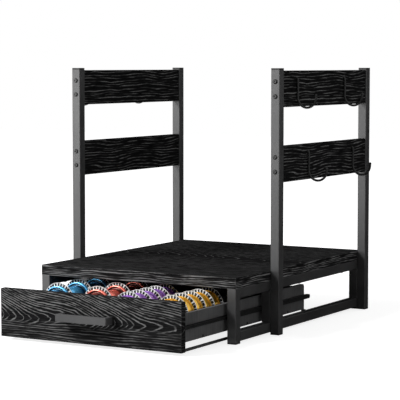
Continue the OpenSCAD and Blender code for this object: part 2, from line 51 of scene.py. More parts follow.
camera = {
    "x": 1.5130,  # metres from the stand's middle, its front legs and the floor
    "y": -2.4199,
    "z": 0.4593,
    "azimuth": 29.824,  # degrees, as seen from the front and turned to the right
    "tilt": 4.574,  # degrees downwards
    "focalPixels": 1694.8,
    "imagePixels": 400,
    "sensor": 36.0,
    "nearest": 0.1,
    "farthest": 60.0,
}


def makeCamera(c):
    turn, tilt = math.radians(c["azimuth"]), math.radians(c["tilt"])
    look = Vector((-math.sin(turn) * math.cos(tilt), math.cos(turn) * math.cos(tilt), -math.sin(tilt)))
    data = bpy.data.cameras.new("photoCamera")
    data.sensor_width = c["sensor"]
    data.lens = c["focalPixels"] * c["sensor"] / c["imagePixels"]
    data.clip_start = c["nearest"]
    data.clip_end = c["farthest"]
    view = bpy.data.objects.new("photoCamera", data)
    view.location = (c["x"], standFrontY + c["y"], c["z"])
    view.rotation_mode = "QUATERNION"
    view.rotation_quaternion = look.to_track_quat("-Z", "Y")
    scene.collection.objects.link(view)
    scene.camera = view


makeCamera(camera)
print("camera set")


# Small helpers for node trees

def put(tree, socket, value):
    if isinstance(value, bpy.types.NodeSocket):
        tree.links.new(value, socket)
    elif value is not None:
        socket.default_value = value


def addNode(tree, kind, settings=None, **inputs):
    node = tree.nodes.new(kind)
    for name, value in (settings or {}).items():
        setattr(node, name, value)
    for name, value in inputs.items():
        put(tree, node.inputs[name], value)
    return node


def calc(tree, operation, *values):
    node = tree.nodes.new("ShaderNodeMath")
    node.operation = operation
    for socket, value in zip(node.inputs, values):
        put(tree, socket, value)
    return node.outputs[0]


def ramp(tree, value, low, high, toLow=0.0, toHigh=1.0):
    node = addNode(tree, "ShaderNodeMapRange", {"interpolation_type": "SMOOTHSTEP"})
    for socket, number in zip(node.inputs, (value, low, high, toLow, toHigh)):
        put(tree, socket, number)
    return node.outputs[0]


def mixColour(tree, factor, first, second):
    node = tree.nodes.new("ShaderNodeMix")
    node.data_type = "RGBA"
    node.clamp_factor = True
    put(tree, node.inputs[0], factor)
    for socket, value in zip((node.inputs[6], node.inputs[7]), (first, second)):
        put(tree, socket, (*value, 1) if isinstance(value, (tuple, list)) else value)
    return node.outputs[2]


def point(tree, x, y, z):
    node = tree.nodes.new("ShaderNodeCombineXYZ")
    for socket, value in zip(node.inputs, (x, y, z)):
        put(tree, socket, value)
    return node.outputs[0]


def noise(tree, vector, scale=1.0, detail=2.0, rough=0.5):
    node = addNode(tree, "ShaderNodeTexNoise", Vector=vector, Scale=scale, Detail=detail, Roughness=rough)
    return node.outputs[0]


def newGroup(name, inputs, outputs):
    tree = bpy.data.node_groups.new(name, "ShaderNodeTree")
    for label, kind, value in inputs:
        socket = tree.interface.new_socket(name=label, in_out="INPUT", socket_type=kind)
        socket.default_value = value
    for label, kind in outputs:
        tree.interface.new_socket(name=label, in_out="OUTPUT", socket_type=kind)
    return tree, tree.nodes.new("NodeGroupInput"), tree.nodes.new("NodeGroupOutput")


def useGroup(tree, group, **inputs):
    node = tree.nodes.new("ShaderNodeGroup")
    node.node_tree = group
    for name, value in inputs.items():
        put(tree, node.inputs[name], value)
    return node.outputs


floatKind, vectorKind = "NodeSocketFloat", "NodeSocketVector"


# Shared effects

def makeBoardFaces():
    # Along and across the grain in millimetres, chosen by the way each face of a board looks
    inputs = [("EdgesAlongY", floatKind, 0.0), ("TopScale", floatKind, 1.0), ("TopShift", floatKind, 0.0)]
    outputs = [("Along", floatKind), ("Across", floatKind), ("Aside", floatKind), ("Up", floatKind)]
    tree, start, end = newGroup("boardFaces", inputs, outputs)
    edgesAlongY, topScale, topShift = (start.outputs[label] for label, kind, value in inputs)
    squarely = 0.7  # least share of a face's normal that counts as looking that way
    millimetres = 1000.0
    place = addNode(tree, "ShaderNodeTexCoord")
    split = addNode(tree, "ShaderNodeSeparateXYZ", Vector=place.outputs["Object"])
    facing = addNode(tree, "ShaderNodeSeparateXYZ", Vector=place.outputs["Normal"])
    x, y, z = split.outputs
    looksUp = calc(tree, "GREATER_THAN", calc(tree, "ABSOLUTE", facing.outputs[2]), squarely)
    looksAside = calc(tree, "GREATER_THAN", calc(tree, "ABSOLUTE", facing.outputs[0]), squarely)
    turned = calc(tree, "MAXIMUM", looksAside, calc(tree, "MULTIPLY", looksUp, edgesAlongY))

    def pick(mask, plain, other):
        return calc(tree, "ADD", plain, calc(tree, "MULTIPLY", mask, calc(tree, "SUBTRACT", other, plain)))

    along = pick(turned, x, y)
    across = pick(looksUp, z, calc(tree, "MULTIPLY", pick(edgesAlongY, y, x), topScale))
    shift = calc(tree, "MULTIPLY", looksUp, topShift)
    put(tree, end.inputs["Along"], calc(tree, "MULTIPLY", along, millimetres))
    put(tree, end.inputs["Across"], calc(tree, "ADD", calc(tree, "MULTIPLY", across, millimetres), shift))
    put(tree, end.inputs["Aside"], looksAside)
    put(tree, end.inputs["Up"], looksUp)
    return tree


grainNoise = {
    # scale per millimetre along and across the grain, seed, and detail and size where they aren't 1
    "noseDrift": dict(along=0.012, across=0.0, seed=0.0, size=10.0),
    "longWander": dict(along=0.014, across=0.03, seed=1.0, detail=2.0, size=20.0),
    "shortWander": dict(along=0.05, across=0.14, seed=2.0, size=9.0),
    "tremble": dict(along=0.13, across=0.4, seed=9.0, size=3.5),
    "archBreaks": dict(along=0.045, across=0.2, seed=7.0, detail=3.0),
    "streakBend": dict(along=0.009, across=0.03, seed=4.0),
    "streakRipple": dict(along=0.04, across=0.15, seed=5.0, size=2.2),
    "streakPatches": dict(along=0.022, across=0.24, seed=6.0, detail=3.0),
    "streakBreaks": dict(along=0.09, across=0.6, seed=12.0, detail=2.0),
    "border": dict(along=0.03, across=0.0, seed=8.0, size=16.0),
    "slowWidth": dict(along=0.02, across=0.21, seed=10.0),
    "quickWidth": dict(along=0.07, across=0.5, seed=11.0),
    "fibre": dict(along=0.05, across=1.1, seed=3.0, detail=3.0),
}

grainShape = {
    "tipRounding": 6.0,  # square millimetres
    "lineFade": (1.5, 0.5),  # distance from a line's middle where it starts and is full, in line widths
    "archBunching": dict(scale=0.45, seed=0.0, size=1.2),
    "streakBunching": dict(scale=0.5, seed=1.0, size=1.1),
    # noise from, noise to, strength of the line from, strength to
    "archBreaks": (-0.2, 0.12, 0.1, 1.0),
    "streakPatches": (-0.14, 0.16, 0.0, 1.0),
    "streakBreaks": (-0.25, 0.05, 0.3, 1.0),
    "borderHalf": 4.0,  # half the height, in millimetres, over which the arches give way to the streaks
    "lineHeight": -0.7,
    "fibreHeight": 0.5,
}


def makeOakGrain(g):
    # Open oak grain: growth lines that come to a nose and point along the board, fine streaks below
    labels = ["Along", "Across", "Axis", "Spacing", "Slope", "Nose", "Point", "Sway", "SwayLength",
              "SwayShift", "Streak", "Swirl", "Faint", "Below", "Width", "Seed"]
    outputs = [("Lines", floatKind), ("Fibre", floatKind), ("Height", floatKind)]
    tree, start, end = newGroup("oakGrain", [(label, floatKind, 1.0) for label in labels], outputs)
    given = {label: start.outputs[label] for label in labels}
    along, across, seed = given["Along"], given["Across"], given["Seed"]

    def times(*values):
        total = values[0]
        for value in values[1:]:
            total = calc(tree, "MULTIPLY", total, value)
        return total

    def plus(*values):
        total = values[0]
        for value in values[1:]:
            total = calc(tree, "ADD", total, value)
        return total

    def minus(first, second):
        return calc(tree, "SUBTRACT", first, second)

    def over(first, second):
        return calc(tree, "DIVIDE", first, second)

    def field(name):
        # Noise around zero
        n = grainNoise[name]
        place = point(tree, times(along, n["along"]), times(across, n["across"]), plus(seed, n["seed"]))
        return times(minus(noise(tree, place, detail=n.get("detail", 1.0)), 0.5), n.get("size", 1.0))

    def bunched(layers, bunching):
        # The same layers, here closer together and there further apart
        place = point(tree, times(layers, bunching["scale"]), seed, bunching["seed"])
        return plus(layers, times(noise(tree, place, detail=0.0), bunching["size"]))

    def lineAt(layers, distance):
        # White on every whole layer, as wide as Width says, whatever the distance between the layers
        wave = calc(tree, "PINGPONG", plus(layers, 0.5), 0.5)
        return ramp(tree, over(times(minus(0.5, wave), distance), width), *g["lineFade"])

    width = times(given["Width"], plus(field("slowWidth"), field("quickWidth"), 1.0))
    fromAxis = plus(minus(across, given["Axis"]), field("noseDrift"))
    square = times(fromAxis, fromAxis)
    blunt = calc(tree, "SQRT", plus(square, times(given["Nose"], given["Nose"])))
    sharp = calc(tree, "SQRT", plus(square, g["tipRounding"]))
    arch = plus(times(given["Slope"], minus(blunt, given["Nose"])), times(given["Point"], sharp))
    lean = plus(over(times(given["Slope"], fromAxis), blunt), over(times(given["Point"], fromAxis), sharp))
    steepness = calc(tree, "SQRT", plus(times(lean, lean), 1.0))
    turn = plus(times(over(along, given["SwayLength"]), 2 * math.pi), given["SwayShift"])
    reach = plus(along, times(calc(tree, "SINE", turn), given["Sway"]), arch)
    reach = plus(reach, field("longWander"), field("shortWander"), field("tremble"))
    rings = bunched(over(reach, given["Spacing"]), g["archBunching"])
    arched = times(lineAt(rings, over(given["Spacing"], steepness)),
                   ramp(tree, field("archBreaks"), *g["archBreaks"]))

    level = plus(across, times(field("streakBend"), given["Swirl"]), field("streakRipple"))
    layers = bunched(over(level, given["Streak"]), g["streakBunching"])
    streaks = times(lineAt(layers, given["Streak"]), given["Faint"],
                    ramp(tree, field("streakPatches"), *g["streakPatches"]),
                    ramp(tree, field("streakBreaks"), *g["streakBreaks"]))
    above = minus(plus(fromAxis, field("border")), given["Below"])
    upper = ramp(tree, above, -g["borderHalf"], g["borderHalf"])
    lines = plus(times(arched, upper), times(streaks, minus(1.0, upper)))

    fibre = plus(field("fibre"), 0.5)
    put(tree, end.inputs["Lines"], lines)
    put(tree, end.inputs["Fibre"], fibre)
    put(tree, end.inputs["Height"], plus(times(lines, g["lineHeight"]), times(fibre, g["fibreHeight"])))
    return tree


peelNoise = {
    "peelDetail": 2.0,
    "cloudDetail": 4.0,
    "rough": 0.6,
}


def makePeel(p):
    # Fine orange peel of a powder coat or a moulded skin, with a little dust in the tone
    tree, start, end = newGroup("finePeel", [("Grain", floatKind, 900.0), ("Cloud", floatKind, 14.0)],
                                [("Height", floatKind), ("Tone", floatKind)])
    place = addNode(tree, "ShaderNodeTexCoord").outputs["Object"]
    put(tree, end.inputs["Height"], noise(tree, place, start.outputs["Grain"], p["peelDetail"], p["rough"]))
    put(tree, end.inputs["Tone"], noise(tree, place, start.outputs["Cloud"], p["cloudDetail"], p["rough"]))
    return tree


edgeWearAndHighlight = {
    "samples": 4,
    "bend": (0.99, 0.85),  # how alike the rounded and the flat normal are where the paler edge, wear with a painted highlight, starts and is full
}


def makeSoftEdge(e):
    # How close a point is to an outer edge, and a normal that rounds that edge
    tree, start, end = newGroup("softEdge", [("Radius", floatKind, 0.0006)],
                                [("Edge", floatKind), ("Normal", vectorKind)])
    rounded = addNode(tree, "ShaderNodeBevel", {"samples": e["samples"]}, Radius=start.outputs["Radius"])
    flat = addNode(tree, "ShaderNodeNewGeometry").outputs["Normal"]
    dot = addNode(tree, "ShaderNodeVectorMath", {"operation": "DOT_PRODUCT"})
    put(tree, dot.inputs[0], rounded.outputs["Normal"])
    put(tree, dot.inputs[1], flat)
    put(tree, end.inputs["Edge"], ramp(tree, dot.outputs["Value"], *e["bend"]))
    put(tree, end.inputs["Normal"], rounded.outputs["Normal"])
    return tree


boardFaces = makeBoardFaces()
oakGrain = makeOakGrain(grainShape)
finePeel = makePeel(peelNoise)
softEdge = makeSoftEdge(edgeWearAndHighlight)


# Materials

middleTones = (0.2, 0.8)  # noise tones between which a roughness goes from its least to its most


def newMaterial(name, settings):
    material = bpy.data.materials.new(name)
    material.use_nodes = True
    tree = material.node_tree
    tree.nodes.clear()
    shader = addNode(tree, "ShaderNodeBsdfPrincipled")
    addNode(tree, "ShaderNodeOutputMaterial", Surface=shader.outputs[0])
    for label, value in settings.items():
        put(tree, shader.inputs[label], value)
    return material, tree, shader


def bump(tree, shader, height, distance, strength, normal=None):
    node = addNode(tree, "ShaderNodeBump", Height=height, Distance=distance, Strength=strength)
    put(tree, node.inputs["Normal"], normal)
    put(tree, shader.inputs["Normal"], node.outputs[0])


slatGrain = dict(Streak=5.2, Swirl=18.0, Faint=1.3, Width=0.66, Below=600.0)  # streaks over the whole slat
slatFaces = dict(EdgesAlongY=1.0, TopScale=1.0, TopShift=0.0)

oak = {
    "dark": (0.006, 0.006, 0.0062),
    "brown": (0.016, 0.016, 0.0163),
    "pale": (0.19, 0.19, 0.19),
    "brownFibre": (0.35, 0.7),  # fibre tones between which dark turns to brown
    "lineShare": 0.9,  # how far a line goes towards the pale colour
    "edgeShare": 0.5,
    "edgeRadius": 0.0008,  # metres
    "relief": 0.00012,
    "reliefStrength": 0.5,
    "roughness": (0.5, 0.7),
    "shine": 0.0,
    "boards": {
        # grain in millimetres: height of the noses, distance and reach of the arches, then the streaks;
        # ends and top: strength of the lines on the end faces and on the top
        "oakFront": {
            "grain": dict(Axis=43.0, Spacing=15.0, Slope=3.1, Nose=15.0, Point=1.0, Sway=17.0,
                          SwayLength=213.0, SwayShift=-1.0, Streak=3.9, Swirl=9.0, Faint=0.75,
                          Below=-8.0, Width=0.75, Seed=4.3),
            "faces": dict(EdgesAlongY=0.0, TopScale=1.0, TopShift=0.0),
            "ends": 0.4,
            "top": 0.8,
        },
        "oakShelf": {
            "grain": dict(Axis=450.0, Spacing=26.0, Slope=4.2, Nose=24.0, Point=0.6, Sway=22.0,
                          SwayLength=310.0, SwayShift=0.8, Streak=3.6, Swirl=12.0, Faint=1.45,
                          Below=-200.0, Width=0.8, Seed=11.7),
            "faces": dict(EdgesAlongY=0.0, TopScale=0.6, TopShift=400.0),
            "ends": 1.0,
            "top": 0.32,
        },
        "oakUpperSlat": {"grain": dict(slatGrain, Seed=21.0), "faces": slatFaces, "ends": 1.0, "top": 0.8},
        "oakLowerSlat": {"grain": dict(slatGrain, Seed=27.0), "faces": slatFaces, "ends": 1.0, "top": 0.8},
    },
}


def makeOak(name, board):
    material, tree, shader = newMaterial(name, {"Specular IOR Level": oak["shine"]})
    faces = useGroup(tree, boardFaces, **board["faces"])
    grain = useGroup(tree, oakGrain, Along=faces["Along"], Across=faces["Across"], **board["grain"])
    edge = useGroup(tree, softEdge, Radius=oak["edgeRadius"])
    ground = mixColour(tree, ramp(tree, grain["Fibre"], *oak["brownFibre"]), oak["dark"], oak["brown"])
    share = oak["lineShare"]
    shown = calc(tree, "MULTIPLY", ramp(tree, faces["Aside"], 0.0, 1.0, share, share * board["ends"]),
                 ramp(tree, faces["Up"], 0.0, 1.0, 1.0, board["top"]))
    colour = mixColour(tree, calc(tree, "MULTIPLY", grain["Lines"], shown), ground, oak["pale"])
    # paler edges: partly wear, partly a painted highlight along the edges
    colour = mixColour(tree, calc(tree, "MULTIPLY", edge["Edge"], oak["edgeShare"]), colour, oak["pale"])
    put(tree, shader.inputs["Base Color"], colour)
    put(tree, shader.inputs["Roughness"], ramp(tree, grain["Fibre"], *middleTones, *oak["roughness"]))
    bump(tree, shader, grain["Height"], oak["relief"], oak["reliefStrength"], edge["Normal"])
    return material


powder = {
    # coats and mouldings: relief in metres, lift is how much paler an edge is, as wear together with a
    # painted edge highlight
    "powderCoat": dict(colour=(0.032, 0.032, 0.0325), rough=0.4, shine=0.42, grain=1400.0,
                       relief=0.00004, lift=0.06),
    "blackSteel": dict(colour=(0.006, 0.006, 0.006), rough=0.45, shine=0.15, grain=900.0,
                       relief=0.00002, lift=0.06),
    "blackPlastic": dict(colour=(0.012, 0.012, 0.012), rough=0.5, shine=0.25, grain=1100.0,
                         relief=0.00003, lift=0.03),
    "greyCoat": dict(colour=(0.054, 0.054, 0.055), rough=0.5, shine=0.2, grain=1500.0,
                     relief=0.00003, lift=0.08),
    "blackBoard": dict(colour=(0.082, 0.082, 0.083), rough=0.6, shine=0.1, grain=600.0,
                       relief=0.00003, lift=0.2, streak=0.14),
    "boltSteel": dict(colour=(0.012, 0.012, 0.012), rough=0.35, shine=0.35, grain=700.0,
                      relief=0.00002, lift=0.1),
    "nylon": dict(colour=(0.6, 0.59, 0.55), rough=0.45, shine=0.4, grain=700.0,
                  relief=0.00002, lift=0.05),
}

powderTone = {
    "shade": 0.8,  # darkest and lightest cloud, as shares of the colour
    "light": 1.25,
    "cloud": 14.0,
    "cloudTones": (0.3, 0.7),
    "edgeRadius": 0.0005,  # metres
    "edgeShare": 0.5,
    "roughnessSpread": (-0.05, 0.07),
    "reliefStrength": 0.6,
    "streakScale": (700.0, 700.0, 22.0),  # upright brush streaks
    "streakTones": (0.35, 0.7),
}


def makePowder(name, coat, t):
    material, tree, shader = newMaterial(name, {"Specular IOR Level": coat["shine"]})
    peel = useGroup(tree, finePeel, Grain=coat["grain"], Cloud=t["cloud"])
    edge = useGroup(tree, softEdge, Radius=t["edgeRadius"])
    light = tuple(min(1.0, t["light"] * c) for c in coat["colour"])
    shade = tuple(t["shade"] * c for c in coat["colour"])
    liftedTone = tuple(min(1.0, c + coat["lift"]) for c in coat["colour"])
    colour = mixColour(tree, ramp(tree, peel["Tone"], *t["cloudTones"]), shade, light)
    if "streak" in coat:
        place = addNode(tree, "ShaderNodeTexCoord").outputs["Object"]
        fine = addNode(tree, "ShaderNodeMapping", Vector=place, Scale=t["streakScale"])
        streaks = ramp(tree, noise(tree, fine.outputs[0]), *t["streakTones"], 0.0, coat["streak"])
        colour = mixColour(tree, streaks, colour, liftedTone)
    # paler edges: partly wear, partly a painted highlight along the edges
    colour = mixColour(tree, calc(tree, "MULTIPLY", edge["Edge"], t["edgeShare"]), colour, liftedTone)
    smooth, dull = (coat["rough"] + spread for spread in t["roughnessSpread"])
    put(tree, shader.inputs["Base Color"], colour)
    put(tree, shader.inputs["Roughness"], ramp(tree, peel["Tone"], *middleTones, smooth, dull))
    bump(tree, shader, peel["Height"], coat["relief"], t["reliefStrength"], edge["Normal"])
    return material


zinc = {
    "grain": 500.0,
    "cloud": 120.0,
    "dull": (0.4, 0.4, 0.39),
    "bright": (0.66, 0.66, 0.64),
    "roughness": (0.28, 0.45),
    "relief": 0.00002,
    "reliefStrength": 0.5,
}


def makeZinc(z):
    material, tree, shader = newMaterial("zincSteel", {"Metallic": 1.0})
    peel = useGroup(tree, finePeel, Grain=z["grain"], Cloud=z["cloud"])
    put(tree, shader.inputs["Base Color"], mixColour(tree, peel["Tone"], z["dull"], z["bright"]))
    put(tree, shader.inputs["Roughness"], ramp(tree, peel["Tone"], *middleTones, *z["roughness"]))
    bump(tree, shader, peel["Height"], z["relief"], z["reliefStrength"])
    return material


materials = {name: makeOak(name, board) for name, board in oak["boards"].items()}
materials.update({name: makePowder(name, coat, powderTone) for name, coat in powder.items()})
materials["zincSteel"] = makeZinc(zinc)
print("materials made:", len(materials))


# Finish of each carried-over node

finishes = {
    "oakFront": ["drawer_front"],
    "oakShelf": ["shelf_board"],
    "oakUpperSlat": ["upper_slat_left", "upper_slat_right"],
    "oakLowerSlat": ["lower_slat_left", "lower_slat_right"],
    "powderCoat": ["front_leg_left", "front_leg_right", "rear_leg_left", "rear_leg_right",
                   "mid_post_left", "mid_post_right", "upper_rail_left", "upper_rail_right",
                   "lower_rail_left", "lower_rail_right", "rear_cross_rail", "front_upright_left",
                   "front_upright_right", "rear_upright_left", "rear_upright_right"],
    "boltSteel": ["slat_bolts"],
    "blackSteel": ["rack_bolts", "slide_rail_left", "slide_rail_right", "rail_brackets",
                   "slide_runner_left", "slide_runner_right", "underbar_left", "underbar_right",
                   "box_screws"],
    "blackPlastic": ["leg_feet", "upright_feet", "upright_top_caps", "handle_spacers",
                     "mug_hooks_left", "mug_hooks_right"],
    "greyCoat": ["handle_pull"],
    "blackBoard": ["drawer_inner_front", "drawer_side_left", "drawer_side_right", "drawer_back",
                   "drawer_floor", "lane_dividers"],
    "nylon": ["rail_pads", "runner_sliders"],
    "zincSteel": ["shelf_screws", "rack_rivet_nuts", "rail_screws", "handle_screws", "front_screws"],
}

softened = {
    # width in metres, and the nodes whose sharp edges are eased by it
    0.0008: ["handle_pull"],
    0.0007: ["drawer_front", "shelf_board"],
    0.0006: ["upper_slat_left", "upper_slat_right", "lower_slat_left", "lower_slat_right"],
    0.0004: ["drawer_side_left", "drawer_side_right", "drawer_inner_front", "drawer_back",
             "handle_spacers"],
    0.0003: ["lane_dividers"],
}

easing = {
    "weldDistance": 0.00001,  # metres
    "segments": 2,
    "sharpest": 40,  # degrees from which an edge counts as sharp
}


def dress(name, material):
    data = cadNodes[name].data
    data.materials.clear()
    data.materials.append(material)


def ease(name, width, e):
    node = cadNodes[name]
    weld = node.modifiers.new("weld", "WELD")
    weld.merge_threshold = e["weldDistance"]
    rounding = node.modifiers.new("ease", "BEVEL")
    rounding.width = width
    rounding.segments = e["segments"]
    rounding.limit_method = "ANGLE"
    rounding.angle_limit = math.radians(e["sharpest"])


for finish, names in finishes.items():
    for name in names:
        dress(name, materials[finish])
for width, names in softened.items():
    for name in names:
        ease(name, width, easing)
print("nodes dressed:", sum(len(names) for names in finishes.values()))


# Capsules

capsule = {
    "segments": 96,
    # lengths in metres, outwards from the lane's axis and forwards from the rim's plane
    "wall": 0.0257,  # radius of the body at the rim
    "lidThickness": 0.0004,
    "lidBehindRim": 0.0012,
    "sizes": {
        # pieces in a lane, inner radius of the step beside the rim, radius of the dome's foot inside it,
        # and share of the colour left in the groove between them, which paints shade into that recess
        "large": dict(count=3, shoulder=0.0229, dome=0.0197, grooveShadeShare=0.08),
        "small": dict(count=5, shoulder=0.0254, dome=0.0243, grooveShadeShare=0.7),
    },
    "lanes": {
        "blue": dict(size="large", tone=(0.11, 0.5, 0.88)),
        "red": dict(size="large", tone=(0.95, 0.2, 0.14)),
        "purple": dict(size="small", tone=(0.46, 0.22, 0.7)),
        "yellow": dict(size="small", tone=(1.0, 0.57, 0.05)),
    },
}

capsuleForm = {
    "domeSteps": 16,
    "domeFoot": 0.0045,
    "domeFlank": 0.9,  # powers that make the dome fuller than a half circle
    "domeCrown": 0.85,
    "gap": 0.0003,
    "grooveFloor": 0.0036,
    "stepPoints": 7,  # the step beside the rim, rounded over
    "stepHeight": 0.0048,
    "wallFoot": 0.0009,  # the skin ends here and the printed rim begins
    "flangeInset": 0.0014,
    "flangeHeights": (0.0003, 0.0002),
    "bead": 0.0007,
    "beadSink": 0.0004,
    "beadPoints": 9,
    "beadFrom": 150,  # degrees
    "beadTurn": 40,
    "underInset": 0.0002,
}

capsuleSkin = {
    "metallic": 0.6,
    "gloss": 0.6,
    "glossRoughness": 0.1,
    "deep": 0.9,  # darkest share of the colour
    "grain": 500.0,
    "cloud": 60.0,
    "roughness": (0.2, 0.32),
    "relief": 0.00003,
    "reliefStrength": 0.4,
    "grooveFade": (0.0008, 0.0004),  # inside and outside the groove
}

capsuleRim = {
    "white": (0.66, 0.66, 0.65),
    "black": (0.004, 0.004, 0.004),
    "dashes": 31,
    "dashShares": (0.58, 0.92),  # least and most of each step that is black
    "dashBand": (-0.1, 0.83),  # inner and outer ends of the dashes, as shares of the printed ring
    "roughness": 0.5,
    "shine": 0.12,
}


def laneFacts(colour):
    # Axis, rim radius and the rim planes of one lane's capsules, read from their node
    low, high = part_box("capsules_" + colour)
    lidLow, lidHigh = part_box("lids_" + colour)
    size = capsule["sizes"][capsule["lanes"][colour]["size"]]
    count = size["count"]
    pitch = (lidHigh.y - lidLow.y - capsule["lidThickness"]) / (count - 1)
    rims = [lidLow.y - capsule["lidBehindRim"] + i * pitch for i in range(count)]
    return {"x": (low.x + high.x) / 2, "z": (low.z + high.z) / 2, "rim": (high.x - low.x) / 2,
            "rims": rims, "height": rims[0] - low.y, **size}


def capsuleOutline(facts, f):
    # Radius and height from the crown out to the rim's edge, in metres
    wall, rim, gap = capsule["wall"], facts["rim"], f["gap"]
    shoulder, dome, height = facts["shoulder"], facts["dome"], facts["height"]
    points = []
    for i in range(f["domeSteps"] + 1):
        angle = i / f["domeSteps"] * math.pi / 2
        radius = dome * math.sin(angle) ** f["domeFlank"]
        rise = (height - f["domeFoot"]) * math.cos(angle) ** f["domeCrown"]
        points.append((radius, f["domeFoot"] + rise))
    points += [(dome + gap, f["grooveFloor"]), (shoulder - gap, f["grooveFloor"])]
    middle, half = (shoulder + wall) / 2, (wall - shoulder) / 2
    for i in range(f["stepPoints"]):
        angle = math.pi * (1 - i / (f["stepPoints"] - 1))
        points.append((middle + half * math.cos(angle), f["stepHeight"] + half * math.sin(angle)))
    flange, bead = rim - f["flangeInset"], f["bead"]
    flangeFoot, flangeEdge = f["flangeHeights"]
    points += [(wall, f["wallFoot"]), (wall + gap, flangeFoot), (flange, flangeEdge)]
    for i in range(f["beadPoints"]):
        angle = math.radians(f["beadFrom"] - i * f["beadTurn"])
        points.append((rim - bead + bead * math.cos(angle), -f["beadSink"] + bead * math.sin(angle)))
    under = -capsule["lidBehindRim"]
    points += [(flange - f["underInset"], under), (wall - f["underInset"], under)]
    return points


def aroundAxis(tree):
    # Distance from the lane's axis and the angle around it
    place = addNode(tree, "ShaderNodeTexCoord").outputs["Object"]
    split = addNode(tree, "ShaderNodeSeparateXYZ", Vector=place)
    x, z = split.outputs["X"], split.outputs["Z"]
    square = calc(tree, "ADD", calc(tree, "MULTIPLY", x, x), calc(tree, "MULTIPLY", z, z))
    return calc(tree, "SQRT", square), calc(tree, "ARCTAN2", z, x)


def makeSkin(colour, facts, s):
    settings = {"Metallic": s["metallic"], "Coat Roughness": s["glossRoughness"]}
    material, tree, shader = newMaterial("capsule_" + colour, settings)
    peel = useGroup(tree, finePeel, Grain=s["grain"], Cloud=s["cloud"])
    tone = capsule["lanes"][colour]["tone"]
    deep = tuple(s["deep"] * c for c in tone)
    # painted shade: the colour is darkened in the groove between the dome and the step, where shade falls
    dark = tuple(facts["grooveShadeShare"] * c for c in tone)
    radius = aroundAxis(tree)[0]
    inner, outer = facts["dome"], facts["shoulder"]
    fadeIn, fadeOut = s["grooveFade"]
    inGroove = calc(tree, "MULTIPLY", ramp(tree, radius, inner - fadeIn, inner),
                    ramp(tree, radius, outer + fadeOut, outer))
    lacquer = mixColour(tree, peel["Tone"], deep, tone)
    put(tree, shader.inputs["Base Color"], mixColour(tree, inGroove, lacquer, dark))
    put(tree, shader.inputs["Roughness"], ramp(tree, peel["Tone"], *middleTones, *s["roughness"]))
    put(tree, shader.inputs["Coat Weight"], ramp(tree, inGroove, 0.0, 1.0, s["gloss"], 0.0))
    bump(tree, shader, peel["Height"], s["relief"], s["reliefStrength"])
    return material


def makeRim(colour, facts, r):
    settings = {"Roughness": r["roughness"], "Specular IOR Level": r["shine"]}
    material, tree, shader = newMaterial("capsuleRim_" + colour, settings)
    radius, angle = aroundAxis(tree)
    turn = calc(tree, "ADD", calc(tree, "DIVIDE", angle, 2 * math.pi), 0.5)
    steps = calc(tree, "MULTIPLY", turn, float(r["dashes"]))
    number = calc(tree, "FLOOR", steps)
    chance = addNode(tree, "ShaderNodeTexWhiteNoise", {"noise_dimensions": "1D"}, W=number)
    share = ramp(tree, chance.outputs["Value"], 0.0, 1.0, *r["dashShares"])
    dash = calc(tree, "LESS_THAN", calc(tree, "FRACT", steps), share)
    inner, outer = (capsule["wall"] + s * (facts["rim"] - capsule["wall"]) for s in r["dashBand"])
    inBand = calc(tree, "MULTIPLY", calc(tree, "GREATER_THAN", radius, inner),
                  calc(tree, "LESS_THAN", radius, outer))
    printed = calc(tree, "MULTIPLY", dash, inBand)
    put(tree, shader.inputs["Base Color"], mixColour(tree, printed, r["white"], r["black"]))
    return material


def makeCapsules(colour):
    facts = laneFacts(colour)
    outline = capsuleOutline(facts, capsuleForm)
    mesh = bpy.data.meshes.new("capsules_" + colour)
    shape = bmesh.new()
    segments = capsule["segments"]
    skinRows = next(i for i, corner in enumerate(outline) if corner[1] <= capsuleForm["wallFoot"])
    for rimY in facts["rims"]:
        rings = []
        for radius, height in outline:
            if radius == 0:
                rings.append([shape.verts.new((0, rimY - height, 0))])
                continue
            turns = [2 * math.pi * i / segments for i in range(segments)]
            rings.append([shape.verts.new((radius * math.cos(turn), rimY - height, radius * math.sin(turn)))
                          for turn in turns])
        for row, (one, two) in enumerate(zip(rings, rings[1:])):
            for i in range(segments):
                j = (i + 1) % segments
                corners = [one[0], two[i], two[j]] if len(one) == 1 else [one[i], two[i], two[j], one[j]]
                face = shape.faces.new(corners)
                face.smooth = True
                face.material_index = 0 if row < skinRows else 1
    shape.normal_update()
    shape.to_mesh(mesh)
    shape.free()
    mesh.materials.append(makeSkin(colour, facts, capsuleSkin))
    mesh.materials.append(makeRim(colour, facts, capsuleRim))
    piece = bpy.data.objects.new("capsuleBodies_" + colour, mesh)
    piece.location = (facts["x"], 0, facts["z"])
    scene.collection.objects.link(piece)
    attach(piece, "drawer")
    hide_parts("capsules_" + colour)


lidFoil = {
    "roughness": 0.35,
    "grain": 260.0,
    "cloud": 80.0,
    "dull": (0.55, 0.55, 0.55),
    "bright": (0.8, 0.8, 0.79),
    "relief": 0.0002,
    "reliefStrength": 0.6,
}


def makeFoil(f):
    material, tree, shader = newMaterial("foil", {"Metallic": 1.0, "Roughness": f["roughness"]})
    peel = useGroup(tree, finePeel, Grain=f["grain"], Cloud=f["cloud"])
    put(tree, shader.inputs["Base Color"], mixColour(tree, peel["Tone"], f["dull"], f["bright"]))
    bump(tree, shader, peel["Height"], f["relief"], f["reliefStrength"])
    return material


foil = makeFoil(lidFoil)
for colour in capsule["lanes"]:
    makeCapsules(colour)
    dress("lids_" + colour, foil)
print("capsules made")


# Studio

